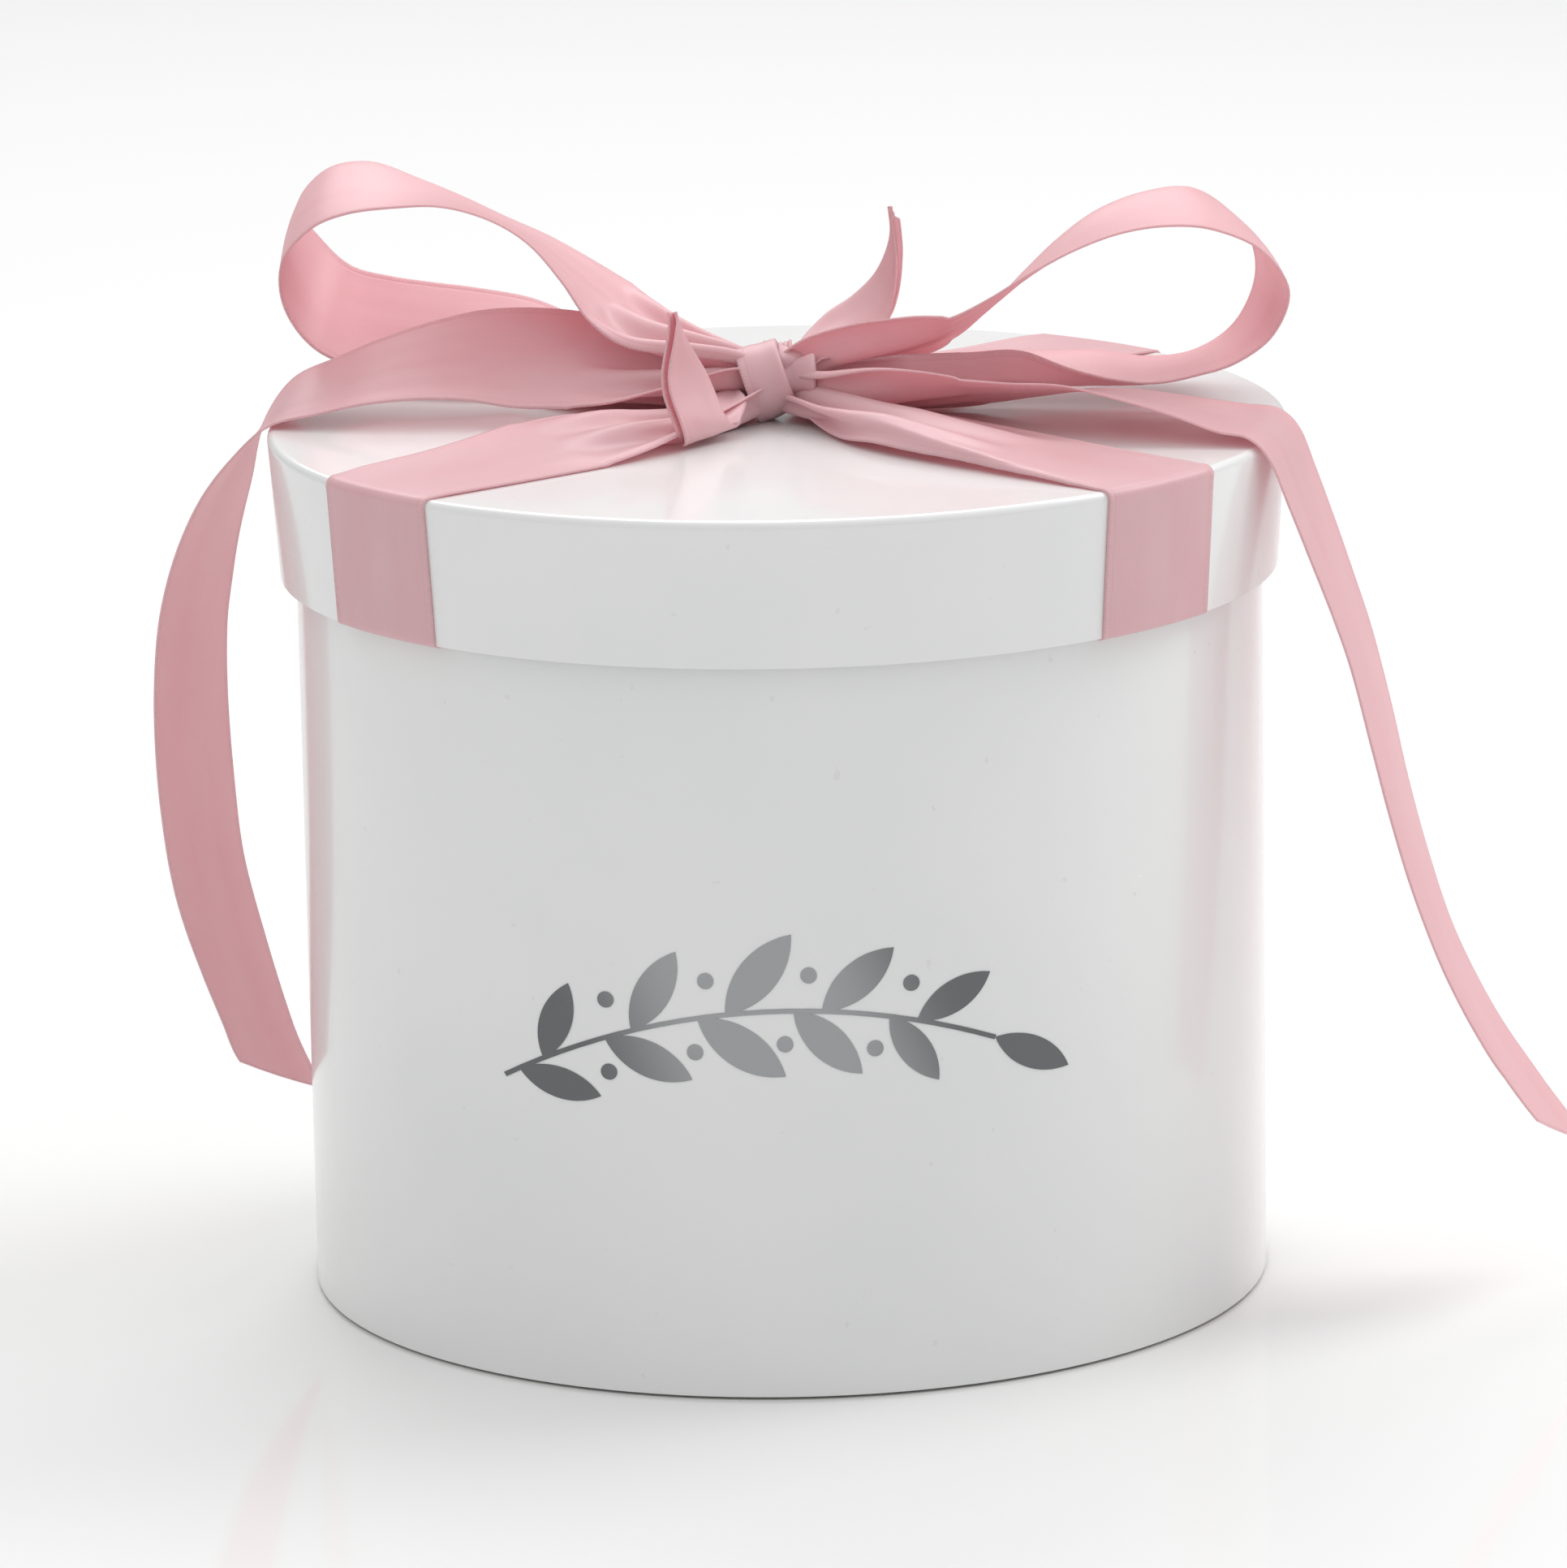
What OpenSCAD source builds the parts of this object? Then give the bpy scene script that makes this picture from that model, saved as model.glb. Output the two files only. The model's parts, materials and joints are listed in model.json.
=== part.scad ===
// Round flower box with a lift-off lid, tied with a satin ribbon bow.
// Rolled board body and lid, covered in laminated paper.
// Units are millimetres. The origin is on the box's axis, on the surface it stands on.
// +Z is up and -Y is the front, where the foil sprig is.

/* [Box] */
// Outside diameter of the wrapped body
body_d = 156.6; // [130:0.2:200]
// Height of the closed box, without the bow
box_h = 141.5; // [110:0.5:200]
// Thickness of the body's wall board and base board
board_t = 2.0; // [1.5:0.1:3]
// Thickness of the covering and lining papers
paper_t = 0.2; // [0.15:0.05:0.3]
// Thickness of the outside paper under the base
base_cover_t = 0.3; // [0.2:0.05:0.5]

/* [Lid] */
// Height of the lid's side
skirt_h = 23.4; // [18:0.2:32]
// Thickness of the lid's side board
skirt_t = 1.5; // [1:0.1:2.5]
// Thickness of the lid's top board
lid_board_t = 2.0; // [1.5:0.1:3]
// Clearance between the lid's mouth and the body, on the radius
lid_gap = 0.7; // [0.7:0.05:1.5]
// How much wider the lid is at its top than at its mouth, on the radius
lid_flare = 1.6; // [0.8:0.1:2.2]
// Radius of the lid's soft upper edge
rim_round = 1.2; // [0.8:0.1:1.6]
// Number of glued tabs of the top paper under the side band
tab_count = 48; // [24:4:72]

/* [Ribbon] */
// Width of the satin ribbon
ribbon_w = 25; // [20:0.5:32]
// Thickness of the satin ribbon
ribbon_t = 0.35; // [0.2:0.05:0.4]
// Length of ribbon tucked up inside the lid
tuck_h = 12; // [8:1:16]

/* [Sprig] */
// Width of the foil sprig on the front
sprig_w = 92; // [60:1:110]
// Height of the sprig's middle above the base, as a share of the box's height
sprig_level = 0.445; // [0.35:0.005:0.55]
// Thickness of the sprig's foil
foil_t = 0.1; // [0.05:0.05:0.2]

/* [Hidden] */

round_fn = 180;
cut_slack = 1;          // how far a cutter runs past what it cuts

// body
body_r = body_d / 2;
wall_out_r = body_r - paper_t;
wall_in_r = wall_out_r - board_t;
lining_in_r = wall_in_r - paper_t;
rim_gap = 0.1;          // gap between the body's rim and the lid above it
turn_in_h = 10;         // covering paper turned in over the body's rim
lid_under_z = box_h - paper_t - lid_board_t - paper_t;
wall_rim_z = lid_under_z - rim_gap;
floor_z = base_cover_t + board_t;
base_cover_inset = 1.2;

// lid
mouth_z = box_h - skirt_h;
mouth_in_r = body_r + lid_gap;
mouth_r = mouth_in_r + paper_t + skirt_t + paper_t;
lid_r = mouth_r + lid_flare;
top_in_r = mouth_in_r + lid_flare;
tab_t = 0.12;           // thickness of the top paper's tabs
tab_h = 7.5;            // how far the tabs run down the side
tab_notch = 4;          // width of a notch between two tabs
notch_share = 0.85;     // a notch's height, as a share of the tabs'
band_drop = 1.4;        // the side band starts this far below the top
band_turn_h = 8;        // side band turned in at the mouth

// ribbon
ribbon_cells = 6;       // cells across a ribbon's width
ribbon_steps = 2;       // steps from one station to the next
cut_rows = 6;           // rows that turn gradually into a slanted end
ribbon_clear = 0.05;    // air between a ribbon and the paper it lies on
ribbon_off = ribbon_t / 2 + ribbon_clear;
drawn_lid_r = 82.5;     // the routes are drawn on a lid of this radius
drawn_box_h = 141.5;    // and on a box of this height
drawn_ribbon_w = 25;    // and for a ribbon of this width
plan_scale = lid_r / drawn_lid_r;
drop_scale = box_h / drawn_box_h;
ribbon_scale = ribbon_w / drawn_ribbon_w;
rim_bend_out = 0.2;     // middle of the rim's bend, inward and upward, as shares of its radius
rim_bend_up = 0.75;

// knot
knot_r = 6.4 * ribbon_scale;
knot_wrap_t = 1.15 * ribbon_scale;
knot_turn_w = 6 * ribbon_scale;
knot_back_w = 5 * ribbon_scale;
knot_tilt = 14;
knot_air = 0.3;         // between the two turns
core_air = 0.1;         // between the turns and the core
core_half = 8 * ribbon_scale;
knot_z = box_h + knot_air / 2 + knot_r * cos(knot_tilt) + knot_turn_w / 2 * sin(knot_tilt);
knot_front_x = -1.8 * ribbon_scale;
knot_back_x = knot_front_x + ((knot_turn_w + knot_back_w) / 2 + knot_air) / cos(knot_tilt);
core_r = (knot_r - knot_wrap_t - core_air) * cos(knot_tilt) - knot_turn_w / 2 * sin(knot_tilt);

// sprig
sprig_pairs = 5;        // pairs of leaves along the stem
sprig_start = -0.95;    // first pair, as a share of the stem's half length
sprig_step = 0.34;      // from one pair to the next
sprig_stagger = 0.05;   // upper leaves ahead of the lower ones
sprig_reach = 0.46;     // end leaf, sideways from the middle, as a share of the width
stem_bow = 0.9;         // radius of the arched stem, as a share of the width
stem_share = [-1.06, 0.75];
stem_t = 0.75;
leaf_length = 0.18 * sprig_w;
leaf_slim = 0.38;       // a leaf's width, as a share of its length
leaf_angle = 44;
leaf_taper = 0.1;       // how much shorter each leaf is than its neighbour nearer the middle
tip_size = 0.8;
tip_angle = -6;
berry_r = 0.014 * sprig_w;
berry_off = 4.3 * berry_r;   // from the stem, halfway between two leaves

// colours
paper_white = [0.96, 0.96, 0.95];
board_grey = [0.72, 0.70, 0.66];
lining_white = [0.93, 0.93, 0.91];
satin_pink = [0.88, 0.62, 0.67];
foil_grey = [0.52, 0.53, 0.54];

// Ribbon routes. A station is [x, y, height, turn, lean, share]:
// height is from the lid's top, turn is the heading of the ribbon's width in plan,
// lean is how far its rear edge is tipped up, and share is the gathered part of its width.
loop_left_route = [
    [-7, 1, 10.5, 90, 0, 0.4], [-13, 3.5, 11.5, 84, 4, 0.55], [-21, 7.5, 13.6, 74, 7, 0.85],
    [-27, 11, 17.2, 74, 3, 1], [-32.5, 13.5, 22, 80, -2, 1], [-38.5, 16.5, 26.6, 84, -7, 1],
    [-45, 19.5, 29.8, 85, -9, 1], [-52.5, 23, 32.3, 84, -6, 1], [-60, 26.5, 33.4, 82, 1, 1],
    [-68, 30, 34, 83, 10, 1], [-75, 33, 31.7, 86, 13, 1], [-80, 36, 25.4, 86, 12, 1],
    [-78, 38, 18, 77, 16, 1], [-73, 37.5, 12.4, 77, 23, 1], [-65.5, 35.5, 10.1, 83, 28, 1],
    [-58, 33.5, 9.4, 87, 28, 1], [-50, 31, 8.8, 87, 28, 1], [-42, 29, 7.8, 82, 26, 1],
    [-35, 25.5, 6.6, 76, 18, 1], [-28, 20.5, 6, 70, 13, 0.95], [-21, 14.5, 5.5, 68, 8, 0.8],
    [-13, 8.5, 5.3, 74, 4, 0.6], [-7, 3.5, 5.5, 88, 0, 0.4]
];
loop_right_route = [
    [6, 1, 10.5, 90, -10, 0.36], [13, 2.5, 11, 92, -16, 0.58], [21, 4, 11.5, 90, -20, 0.84],
    [28.5, 5, 13, 88, -18, 1], [35, 5.5, 17, 88, -13, 1], [41, 6.5, 21.5, 90, -9, 1],
    [47.5, 7, 26, 93, -5, 1], [54.5, 8, 29.5, 96, -1, 1], [62, 8.5, 31.5, 96, 3, 1],
    [69.5, 9.5, 31.5, 96, 6, 1], [76.5, 10, 28, 100, 6, 1], [81, 12, 21.5, 101, 9, 1],
    [80, 14, 14, 94, 10, 1], [75, 14.5, 8, 88, 4, 1], [68, 14.5, 5, 87, -1, 1],
    [60, 15, 4, 87, 1, 1], [52, 15.5, 4.5, 88, 5, 1], [44, 15.5, 4.5, 93, 6, 1],
    [36.5, 15, 5, 100, 6, 1], [29, 12.5, 5, 106, 5, 1], [21.5, 10, 5.5, 108, 5, 0.9],
    [13, 7, 6, 105, 5, 0.62], [7.2, 3.5, 7, 90, 4, 0.36]
];
tail_left_route = [
    [-7, -1.5, 8, 90, 8, 0.4], [-14.5, -0.5, 8, 80, 20, 0.62], [-23, 1.5, 8.6, 78, 23, 0.9],
    [-31.5, 3, 9.7, 78, 27, 1], [-40, 4, 9.9, 79, 29, 1], [-48.5, 5.5, 10, 81, 25, 1],
    [-56.5, 6.5, 9.1, 82, 20, 1], [-65, 7.5, 7.2, 83, 15, 1], [-73, 8.5, 4.6, 83, 11, 1],
    [-80.5, 10, 1.7, 83, 7, 1], [-86, 11, -4.6, 81, 2, 1], [-89.8, 12, -12.4, 74, -3, 1],
    [-93, 12.5, -20.8, 70, -5, 1], [-95.2, 13, -29.2, 67, -4, 1], [-96.5, 13, -37.5, 66, -2, 1],
    [-97, 13, -49.5, 65, 0, 1], [-96.5, 13, -63.5, 65, 2, 1], [-95, 13, -77.5, 67, 4, 1],
    [-91.5, 13, -91.5, 70, 5, 1], [-87.5, 13, -104.5, 74, 6, 1], [-84.5, 13, -112, 76, 6, 1]
];
tail_right_route = [
    [7.7, -3, 4.8, 80, -15, 0.4], [15, -4.5, 4.6, 80, -24, 0.66], [23.5, -6, 4.8, 78, -22, 0.9],
    [32, -7.5, 5, 77, -19, 1], [40, -9.5, 5.5, 75, -15, 1], [48.5, -11.5, 6, 75, -12, 1],
    [56.5, -14, 5.2, 76, -8, 1], [65, -16, 3.6, 76, -5, 1], [72.5, -18.5, 2.1, 76, -1, 1],
    [77.5, -20, 1.5, 76, 0, 1], [80.8, -20.8, -1.6, 76, 1, 1], [83.6, -21, -8.5, 77, 3, 1],
    [87, -21, -17.5, 78, 4, 1], [90.3, -21, -26.5, 79, 4, 1], [93.3, -21, -35.5, 79, 3, 1],
    [96.5, -20.5, -48, 79, 3, 1], [99.5, -20.5, -60.5, 80, 3, 1], [103, -20.5, -73, 81, 3, 1],
    [107.5, -20.5, -86, 83, 4, 1], [113.5, -20, -98.5, 84, 4, 1], [119.5, -20, -108, 85, 4, 1],
    [125.5, -20, -116.5, 86, 4, 1]
];
end_front_route = [
    [-6.6, -1.5, 4.7, -85, 0, 0.35], [-8.2, -6.5, 4.6, -38, 2, 0.42], [-8.8, -12.5, 3.8, 0, 4, 0.5],
    [-9.4, -17.6, 2.7, 24, 4, 0.54], [-10.2, -21.4, 2.2, 45, 2, 0.58], [-11.7, -22.4, 4.8, 57, -3, 0.62],
    [-13.8, -21.2, 8.2, 63, -9, 0.68], [-14.8, -19.8, 12.1, 68, -12, 0.66], [-15.5, -19.8, 17, 72, -14, 0.36],
    [-16.2, -20, 21.4, 74, -16, 0.12]
];
end_back_route = [
    [6.2, 4.3, 11.9, 115, 6, 0.34], [9.8, 8, 13.6, 108, 24, 0.4], [13.8, 10, 15.1, 104, 33, 0.4],
    [17.2, 12, 18.4, 100, 46, 0.42], [19, 12.6, 21.8, 105, 55, 0.45], [20.1, 13, 25.5, 112, 62, 0.47]
];
// Straps. A station is [distance from the axis, height, lean, share].
strap_front_left_route = [
    [74, 0.6, 1, 1], [60, 1, 3, 1], [45, 1.9, 7, 1], [32, 2.7, 9, 0.92], [22, 2, 5, 0.7],
    [14, 1.8, 0, 0.5], [10, 1.6, 0, 0.42]
];
strap_front_right_route = [
    [74, 0.6, -1, 1], [60, 1.4, -3, 0.96], [45, 2.8, -6, 0.88], [32, 3.6, -8, 0.8],
    [22, 3, -5, 0.68], [14, 2.2, 0, 0.5], [10, 1.8, 0, 0.42]
];
strap_back_route = [
    [74, 0.6, 0, 1], [60, 0.9, 0, 1], [45, 1.2, 2, 1], [32, 1.6, 3, 0.92], [22, 1.8, 2, 0.7],
    [14, 1.8, 0, 0.5], [10, 1.7, 0, 0.42]
];
// Heading of each strap from the axis
front_left_heading = -140.5;
front_right_heading = -43;
back_left_heading = 137;
back_right_heading = 47.5;
// How far the rear corner of a cut end runs past its middle
square_cut = 0;
slant_cut = 7.5;

// ---- shared shapes ----

function unit(v) = v / norm(v);

function spline_at(a, b, c, d, t) =
    b + t / 2 * ((c - a) + t * ((2 * a - 5 * b + 4 * c - d) + t * (3 * b - a - 3 * c + d)));

function spline(stations, steps) = [
    for (i = [0 : len(stations) - 2], k = [0 : steps - 1])
        spline_at(stations[max(i - 1, 0)], stations[i], stations[i + 1],
                  stations[min(i + 2, len(stations) - 1)], k / steps),
    stations[len(stations) - 1]
];

// Middle of a ribbon at one station
function ribbon_middle(s) = [
    s[0] * plan_scale,
    s[1] * plan_scale,
    box_h + s[2] * (s[2] > 0 ? ribbon_scale : drop_scale)
];

// Direction of the ribbon's width, front edge to rear edge
function ribbon_across(s) = [cos(s[3]) * cos(s[4]), sin(s[3]) * cos(s[4]), sin(s[4])];

// Direction along a ribbon at row i
function ribbon_heading(rows, i) =
    unit(ribbon_middle(rows[min(i + 1, len(rows) - 1)]) - ribbon_middle(rows[max(i - 1, 0)]));

// Points of a ribbon's middle surface, row by row along it.
// The last row's rear corner runs ahead of its middle by the cut, and its front corner stays behind.
function ribbon_grid(route, cut) =
    let (rows = spline(route, ribbon_steps), last = len(rows) - 1)
    [for (i = [0 : last])
        let (middle = ribbon_middle(rows[i]),
             across = ribbon_across(rows[i]) * ribbon_w * rows[i][5],
             ahead = ribbon_heading(rows, i) * cut * max(0, 1 - (last - i) / cut_rows))
        [for (j = [0 : ribbon_cells])
            let (v = j / ribbon_cells - 0.5)
            middle + across * v + ahead * 2 * v]];

function grid_normal(g, i, j) =
    let (rows = len(g) - 1, cells = len(g[0]) - 1)
    unit(cross(g[i][min(j + 1, cells)] - g[i][max(j - 1, 0)],
               g[min(i + 1, rows)][j] - g[max(i - 1, 0)][j]));

// A closed sheet of thickness t around a grid of points
module sheet(g, t) {
    rows = len(g);
    cols = len(g[0]);
    count = rows * cols;
    upper = [for (i = [0 : rows - 1], j = [0 : cols - 1]) g[i][j] + grid_normal(g, i, j) * t / 2];
    lower = [for (i = [0 : rows - 1], j = [0 : cols - 1]) g[i][j] - grid_normal(g, i, j) * t / 2];
    border = concat(
        [for (j = [0 : cols - 2]) j],
        [for (i = [0 : rows - 2]) i * cols + cols - 1],
        [for (j = [cols - 1 : -1 : 1]) (rows - 1) * cols + j],
        [for (i = [rows - 1 : -1 : 1]) i * cols]
    );
    polyhedron(
        points = concat(upper, lower),
        faces = concat(
            [for (i = [0 : rows - 2], j = [0 : cols - 2])
                let (a = i * cols + j) each [[a, a + cols, a + cols + 1], [a, a + cols + 1, a + 1]]],
            [for (i = [0 : rows - 2], j = [0 : cols - 2])
                let (a = count + i * cols + j) each [[a, a + cols + 1, a + cols], [a, a + 1, a + cols + 1]]],
            [for (k = [0 : len(border) - 1])
                let (a = border[k], b = border[(k + 1) % len(border)])
                each [[a, b, count + b], [a, count + b, count + a]]]
        )
    );
}

module ribbon(route, cut) {
    color(satin_pink) sheet(ribbon_grid(route, cut), ribbon_t);
}

// One point of a strap: d along its heading, v across it, bent round the lid where bend is 1
function strap_point(heading, d, z, v, lean, bend) =
    let (arc = v / d * 180 / PI,
         flat_point = [d, v * cos(lean), z + v * sin(lean)],
         bent_point = [d * cos(arc), d * sin(arc), z],
         p = flat_point * (1 - bend) + bent_point * bend)
    [p[0] * cos(heading) - p[1] * sin(heading), p[0] * sin(heading) + p[1] * cos(heading), p[2]];

// Rows of a strap as [d, z, lean, share, bend], from its tucked end over the rim
function strap_rows(route) =
    let (off = ribbon_off,
         in_r = mouth_in_r - off,
         out_r = mouth_r + off,
         slope = lid_flare / skirt_h,
         shoulder_z = box_h - rim_round)
    concat(
        [[in_r + slope * tuck_h, mouth_z + tuck_h, 0, 1, 1],
         [in_r + slope * tuck_h / 2, mouth_z + tuck_h / 2, 0, 1, 1],
         [in_r, mouth_z + off, 0, 1, 1],
         [in_r + off / 2, mouth_z - off, 0, 1, 1],
         [out_r - off / 2, mouth_z - off, 0, 1, 1],
         [out_r, mouth_z + off, 0, 1, 1],
         [out_r + slope * skirt_h / 3, mouth_z + skirt_h / 3, 0, 1, 1],
         [out_r + slope * skirt_h * 2 / 3, mouth_z + skirt_h * 2 / 3, 0, 1, 1],
         [lid_r + off, shoulder_z, 0, 1, 1],
         [lid_r + off - rim_round * rim_bend_out, shoulder_z + rim_round * rim_bend_up + off, 0, 1, 1],
         [lid_r - rim_round, box_h + off, 0, 1, 1]],
        [for (s = spline(route, ribbon_steps))
            [s[0] * plan_scale, box_h + s[1] * ribbon_scale, s[2], s[3], 0]]
    );

// Side is 1 where the strap's rear edge is on its left, seen from the axis, and -1 where it is right
module strap(route, heading, side) {
    rows = strap_rows(route);
    grid = [for (r = rows) [for (j = [0 : ribbon_cells])
        strap_point(heading, r[0], r[1], (j / ribbon_cells - 0.5) * ribbon_w * r[3], r[2] * side, r[4])]];
    color(satin_pink) sheet(grid, ribbon_t);
}

// Ring profile turned about the axis, from a list of [r, z] points
module turned(points) {
    rotate_extrude($fn = round_fn) polygon(points);
}

// Radius of the lid's covered outside at a height above the mouth, less a depth below the surface
function lid_side_r(z, depth) = mouth_r + lid_flare * (z - mouth_z) / skirt_h - depth;

function lid_inside_r(z, depth) = mouth_in_r + lid_flare * (z - mouth_z) / skirt_h + depth;

// Quarter arc of the lid's upper edge, at a depth below the surface
function rim_arc(depth) = [
    for (a = [0 : 15 : 90])
        [lid_side_r(box_h - rim_round, 0) - rim_round + (rim_round - depth) * cos(a),
         box_h - rim_round + (rim_round - depth) * sin(a)]
];

// ---- body ----

module wall_board() {
    color(board_grey) translate([0, 0, base_cover_t]) difference() {
        cylinder(r = wall_out_r, h = wall_rim_z - paper_t - base_cover_t, $fn = round_fn);
        translate([0, 0, -cut_slack])
            cylinder(r = wall_in_r, h = box_h, $fn = round_fn);
    }
}

module base_board() {
    color(board_grey) translate([0, 0, base_cover_t])
        cylinder(r = wall_in_r, h = board_t, $fn = round_fn);
}

module base_cover() {
    color(paper_white) cylinder(r = body_r - base_cover_inset, h = base_cover_t, $fn = round_fn);
}

module wall_wrap() {
    board_top = wall_rim_z - paper_t;
    color(paper_white) turned([
        [wall_out_r, base_cover_t], [body_r, base_cover_t], [body_r, wall_rim_z],
        [lining_in_r, wall_rim_z], [lining_in_r, wall_rim_z - turn_in_h],
        [wall_in_r, wall_rim_z - turn_in_h], [wall_in_r, board_top], [wall_out_r, board_top]
    ]);
}

module wall_lining() {
    color(lining_white) turned([
        [lining_in_r, floor_z], [wall_in_r, floor_z],
        [wall_in_r, wall_rim_z - turn_in_h], [lining_in_r, wall_rim_z - turn_in_h]
    ]);
}

module base_lining() {
    color(lining_white) translate([0, 0, floor_z])
        cylinder(r = lining_in_r, h = paper_t, $fn = round_fn);
}

// ---- sprig ----

// A pointed leaf from the origin along +X
module leaf(length, width) {
    bow = (length * length / 4 - width * width / 4) / width;
    radius = norm([length / 2, bow]);
    intersection() {
        translate([length / 2, bow]) circle(r = radius, $fn = round_fn);
        translate([length / 2, -bow]) circle(r = radius, $fn = round_fn);
    }
}

// Turn about the stem's centre at a share of its half length
function stem_turn(share) = -share * asin(sprig_reach / stem_bow);

// Puts its children on the arched stem
module on_stem(share) {
    translate([0, -stem_bow * sprig_w]) rotate(stem_turn(share))
        translate([0, stem_bow * sprig_w]) children();
}

// The stem as a thin arc
module stem() {
    radius = stem_bow * sprig_w;
    span = [for (k = [0 : 24]) 90 + stem_turn(stem_share[0] + (stem_share[1] - stem_share[0]) * k / 24)];
    translate([0, -radius]) polygon(concat(
        [for (a = span) (radius + stem_t / 2) * [cos(a), sin(a)]],
        [for (k = [24 : -1 : 0]) (radius - stem_t / 2) * [cos(span[k]), sin(span[k])]]
    ));
}

module sprig_outline() {
    middle_pair = (sprig_pairs - 1) / 2;
    stem();
    for (i = [0 : sprig_pairs - 1], side = [-1, 1]) {
        size = 1 - leaf_taper * abs(i - middle_pair);
        on_stem(sprig_start + sprig_step * i + sprig_stagger * side)
            rotate(side * leaf_angle) leaf(leaf_length * size, leaf_length * leaf_slim * size);
    }
    on_stem(sprig_start + sprig_step * sprig_pairs)
        rotate(tip_angle) leaf(leaf_length * tip_size, leaf_length * leaf_slim * tip_size);
    for (i = [1 : sprig_pairs - 1], side = [-1, 1])
        on_stem(sprig_start + sprig_step * (i - 0.5) + sprig_stagger * side)
            translate([berry_off / tan(leaf_angle), side * berry_off]) circle(r = berry_r, $fn = 48);
}

module foil_sprig() {
    color(foil_grey) intersection() {
        turned([
            [body_r, base_cover_t], [body_r + foil_t, base_cover_t],
            [body_r + foil_t, mouth_z], [body_r, mouth_z]
        ]);
        translate([0, 0, sprig_level * box_h]) rotate([90, 0, 0])
            linear_extrude(height = body_r + foil_t + cut_slack) sprig_outline();
    }
}

// ---- lid ----

module lid_board() {
    top_z = box_h - paper_t;
    color(board_grey) turned([
        [0, top_z - lid_board_t],
        [lid_inside_r(top_z - lid_board_t, paper_t), top_z - lid_board_t],
        [lid_inside_r(top_z, paper_t), top_z],
        [0, top_z]
    ]);
}

module skirt_board() {
    depth = paper_t + tab_t;
    top_z = box_h - paper_t;
    color(board_grey) turned(concat(
        [[lid_inside_r(mouth_z + paper_t, paper_t), mouth_z + paper_t],
         [lid_side_r(mouth_z + paper_t, depth), mouth_z + paper_t]],
        [for (p = rim_arc(depth)) if (p[1] < top_z) p],
        [[lid_side_r(box_h - rim_round, 0) - rim_round, top_z],
         [lid_inside_r(top_z, paper_t), top_z]]
    ));
}

// The disc of top paper, turned over the rim into notched tabs
module lid_top_paper() {
    tab_z = box_h - band_drop - tab_h;
    skin = paper_t + tab_t;
    notch_h = cut_slack + tab_h * notch_share;
    outer = rim_arc(0);
    inner = rim_arc(skin);
    color(paper_white) difference() {
        turned(concat(
            [[0, box_h - paper_t], [inner[6][0], box_h - paper_t]],
            [for (i = [5 : -1 : 0]) if (inner[i][1] < box_h - paper_t) inner[i]],
            [[lid_side_r(tab_z, skin), tab_z], [lid_side_r(tab_z, paper_t), tab_z],
             [lid_side_r(box_h - band_drop, paper_t), box_h - band_drop],
             [lid_side_r(box_h - band_drop, 0), box_h - band_drop]],
            outer,
            [[0, box_h]]
        ));
        for (i = [0 : tab_count - 1]) rotate(i * 360 / tab_count)
            translate([lid_r + cut_slack, 0, tab_z - cut_slack]) rotate([0, -90, 0])
                linear_extrude(height = 3 * cut_slack + skin)
                    polygon([[0, -tab_notch / 2], [0, tab_notch / 2], [notch_h, 0]]);
    }
}

// The strip round the side, over the tabs, turned in at the mouth
module lid_side_band() {
    top_z = box_h - band_drop;
    tab_z = top_z - tab_h;
    skin = paper_t + tab_t;
    color(paper_white) turned([
        [lid_side_r(top_z, paper_t), top_z], [lid_side_r(tab_z, paper_t), tab_z],
        [lid_side_r(tab_z, skin), tab_z], [lid_side_r(mouth_z + paper_t, skin), mouth_z + paper_t],
        [lid_inside_r(mouth_z + paper_t, paper_t), mouth_z + paper_t],
        [lid_inside_r(mouth_z + band_turn_h, paper_t), mouth_z + band_turn_h],
        [lid_inside_r(mouth_z + band_turn_h, 0), mouth_z + band_turn_h],
        [lid_inside_r(mouth_z, 0), mouth_z], [lid_side_r(mouth_z, 0), mouth_z],
        [lid_side_r(top_z, 0), top_z]
    ]);
}

module lid_lining() {
    under_z = lid_under_z;
    color(lining_white) turned([
        [0, under_z], [lid_inside_r(under_z, 0), under_z],
        [lid_inside_r(under_z + paper_t, 0), under_z + paper_t], [0, under_z + paper_t]
    ]);
}

module skirt_lining() {
    low_z = mouth_z + band_turn_h;
    high_z = lid_under_z + paper_t;
    color(lining_white) turned([
        [lid_inside_r(low_z, 0), low_z], [lid_inside_r(low_z, paper_t), low_z],
        [lid_inside_r(high_z, paper_t), high_z], [lid_inside_r(high_z, 0), high_z]
    ]);
}

// ---- knot ----

// A turn of ribbon round the knot: a rounded band round an axis along X
module knot_turn(width, radius, wrap_t) {
    edge = wrap_t / 2;
    rotate([0, 90, 0]) rotate_extrude($fn = 64)
        union() {
            translate([radius - wrap_t, -width / 2 + edge]) square([wrap_t, width - wrap_t]);
            for (side = [-1, 1])
                translate([radius - edge, side * (width / 2 - edge)]) circle(r = edge, $fn = 24);
        }
}

module knot_front_turn() {
    color(satin_pink) translate([knot_front_x, 0, knot_z]) rotate([0, -knot_tilt, 0])
        knot_turn(knot_turn_w, knot_r, knot_wrap_t);
}

module knot_back_turn() {
    color(satin_pink) translate([knot_back_x, 0, knot_z]) rotate([0, -knot_tilt, 0])
        knot_turn(knot_back_w, knot_r, knot_wrap_t);
}

module knot_core() {
    color(satin_pink) translate([-core_half, 0, knot_z]) rotate([0, 90, 0])
        cylinder(r = core_r, h = 2 * core_half, $fn = 64);
}

// ---- nodes ----

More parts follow.
